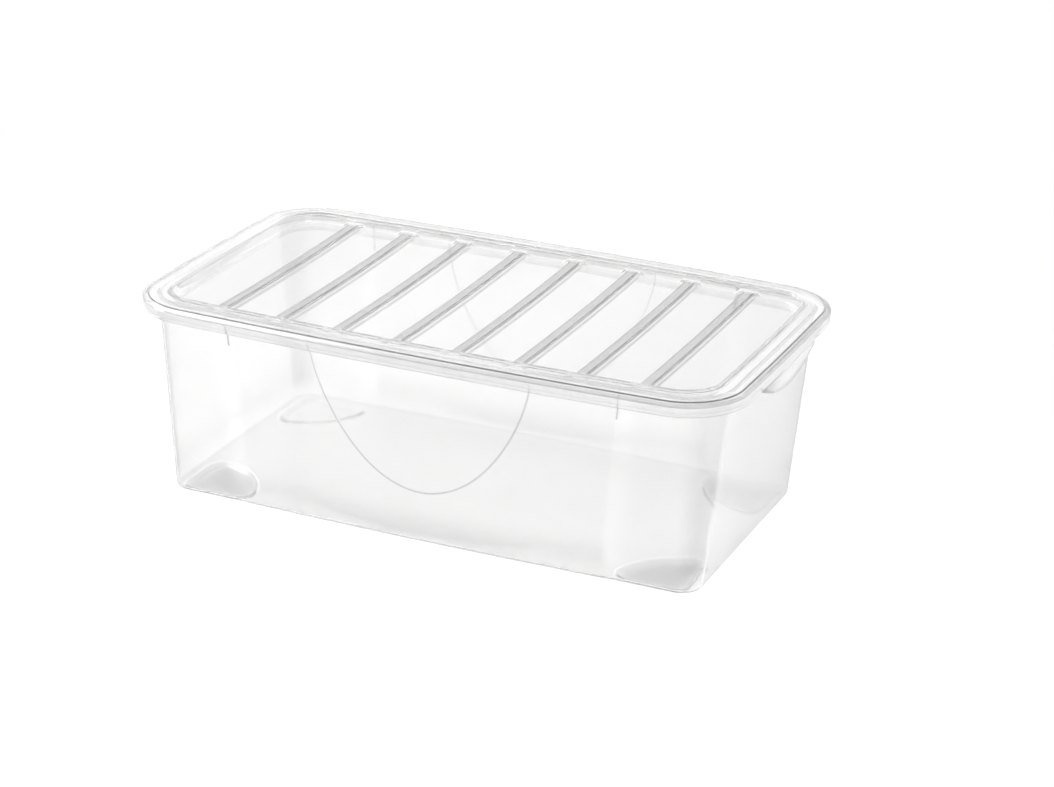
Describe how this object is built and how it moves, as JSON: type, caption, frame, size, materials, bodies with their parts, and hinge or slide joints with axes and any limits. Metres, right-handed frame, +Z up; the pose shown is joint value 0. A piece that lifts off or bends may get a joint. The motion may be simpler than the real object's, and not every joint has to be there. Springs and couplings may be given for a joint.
{
  "type": "storage box with lid",
  "caption": "Long clear plastic storage box with sloped walls, quarter-round feet, a half-moon step on the long walls and a lift-off lid with a recessed, barred top for stacking.",
  "frame": {"origin": "on the floor, under the middle of the box", "axes": "+X along the length, +Y across the width towards the back, +Z up; the front long wall faces -Y"},
  "size_m": [0.6, 0.35, 0.201],
  "materials": {
    "tub_plastic": "clear, glossy",
    "lid_plastic": "clear, glossy"
  },
  "bodies": {
    "tub": {"tub": "tub_plastic"},
    "lid": {"lid": "lid_plastic"}
  },
  "joints": [
    {"name": "lid_lift", "type": "slide", "parent": "tub", "child": "lid", "axis": [0, 0, 1], "range_m": [0, 0.3]}
  ]
}
